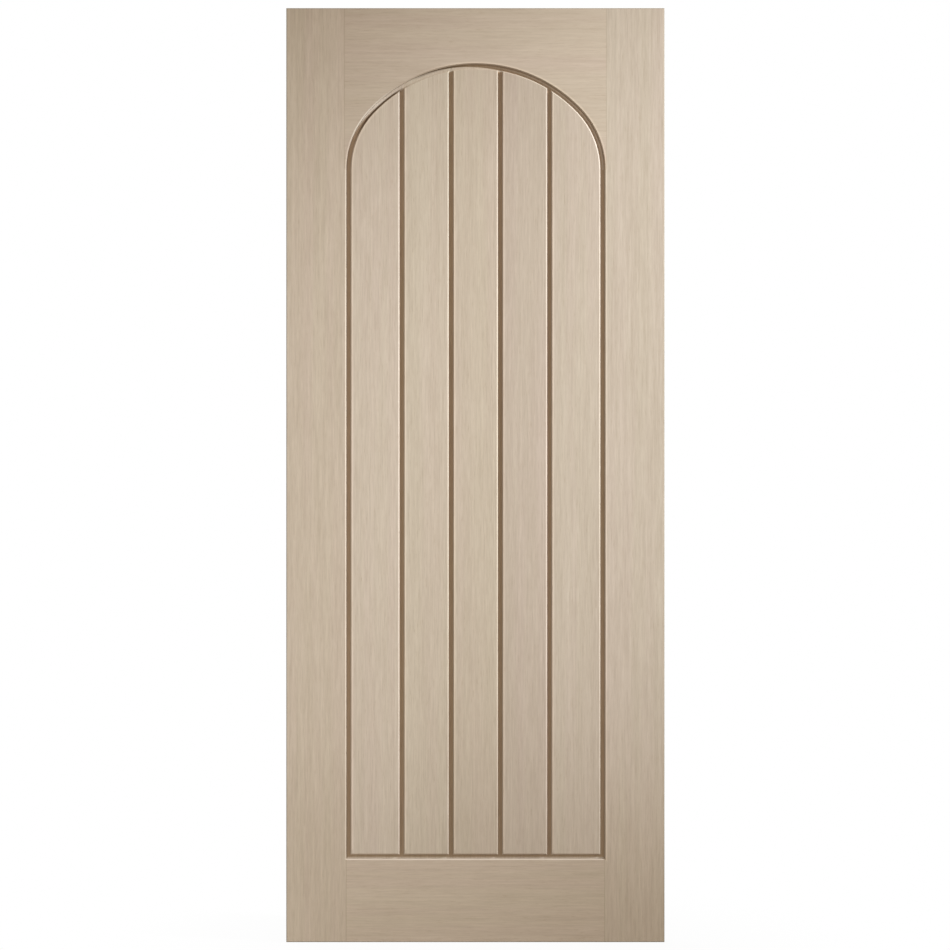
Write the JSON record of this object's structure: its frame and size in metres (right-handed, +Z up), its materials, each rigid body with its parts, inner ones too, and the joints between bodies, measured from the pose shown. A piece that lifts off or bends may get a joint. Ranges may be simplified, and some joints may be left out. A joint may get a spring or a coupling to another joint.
{
  "type": "arched wooden door",
  "caption": "Pale oak door leaf: stile-and-rail frame round a flush panel of tongued and grooved boards under a basket-handle arch, with chamfered grooves.",
  "frame": {"origin": "centre of the leaf's bottom edge, midway between its faces", "axes": "+Z up the leaf, +X to the right and -Y out of the face that the picture shows"},
  "size_m": [0.826, 0.04, 2.04],
  "materials": {
    "stile_oak": "smooth matt pale oak, upright grain",
    "rail_oak": "smooth matt pale oak, level grain",
    "board_oak": "smooth matt pale oak, upright grain",
    "dowel_beech": "bare turned beech, hidden"
  },
  "bodies": {
    "root": {"left_stile": "stile_oak", "right_stile": "stile_oak", "top_rail": "rail_oak", "bottom_rail": "rail_oak", "board_1": "board_oak", "board_2": "board_oak", "board_3": "board_oak", "board_4": "board_oak", "board_5": "board_oak", "top_left_dowels": "dowel_beech", "top_right_dowels": "dowel_beech", "bottom_left_dowels": "dowel_beech", "bottom_right_dowels": "dowel_beech"}
  },
  "joints": []
}
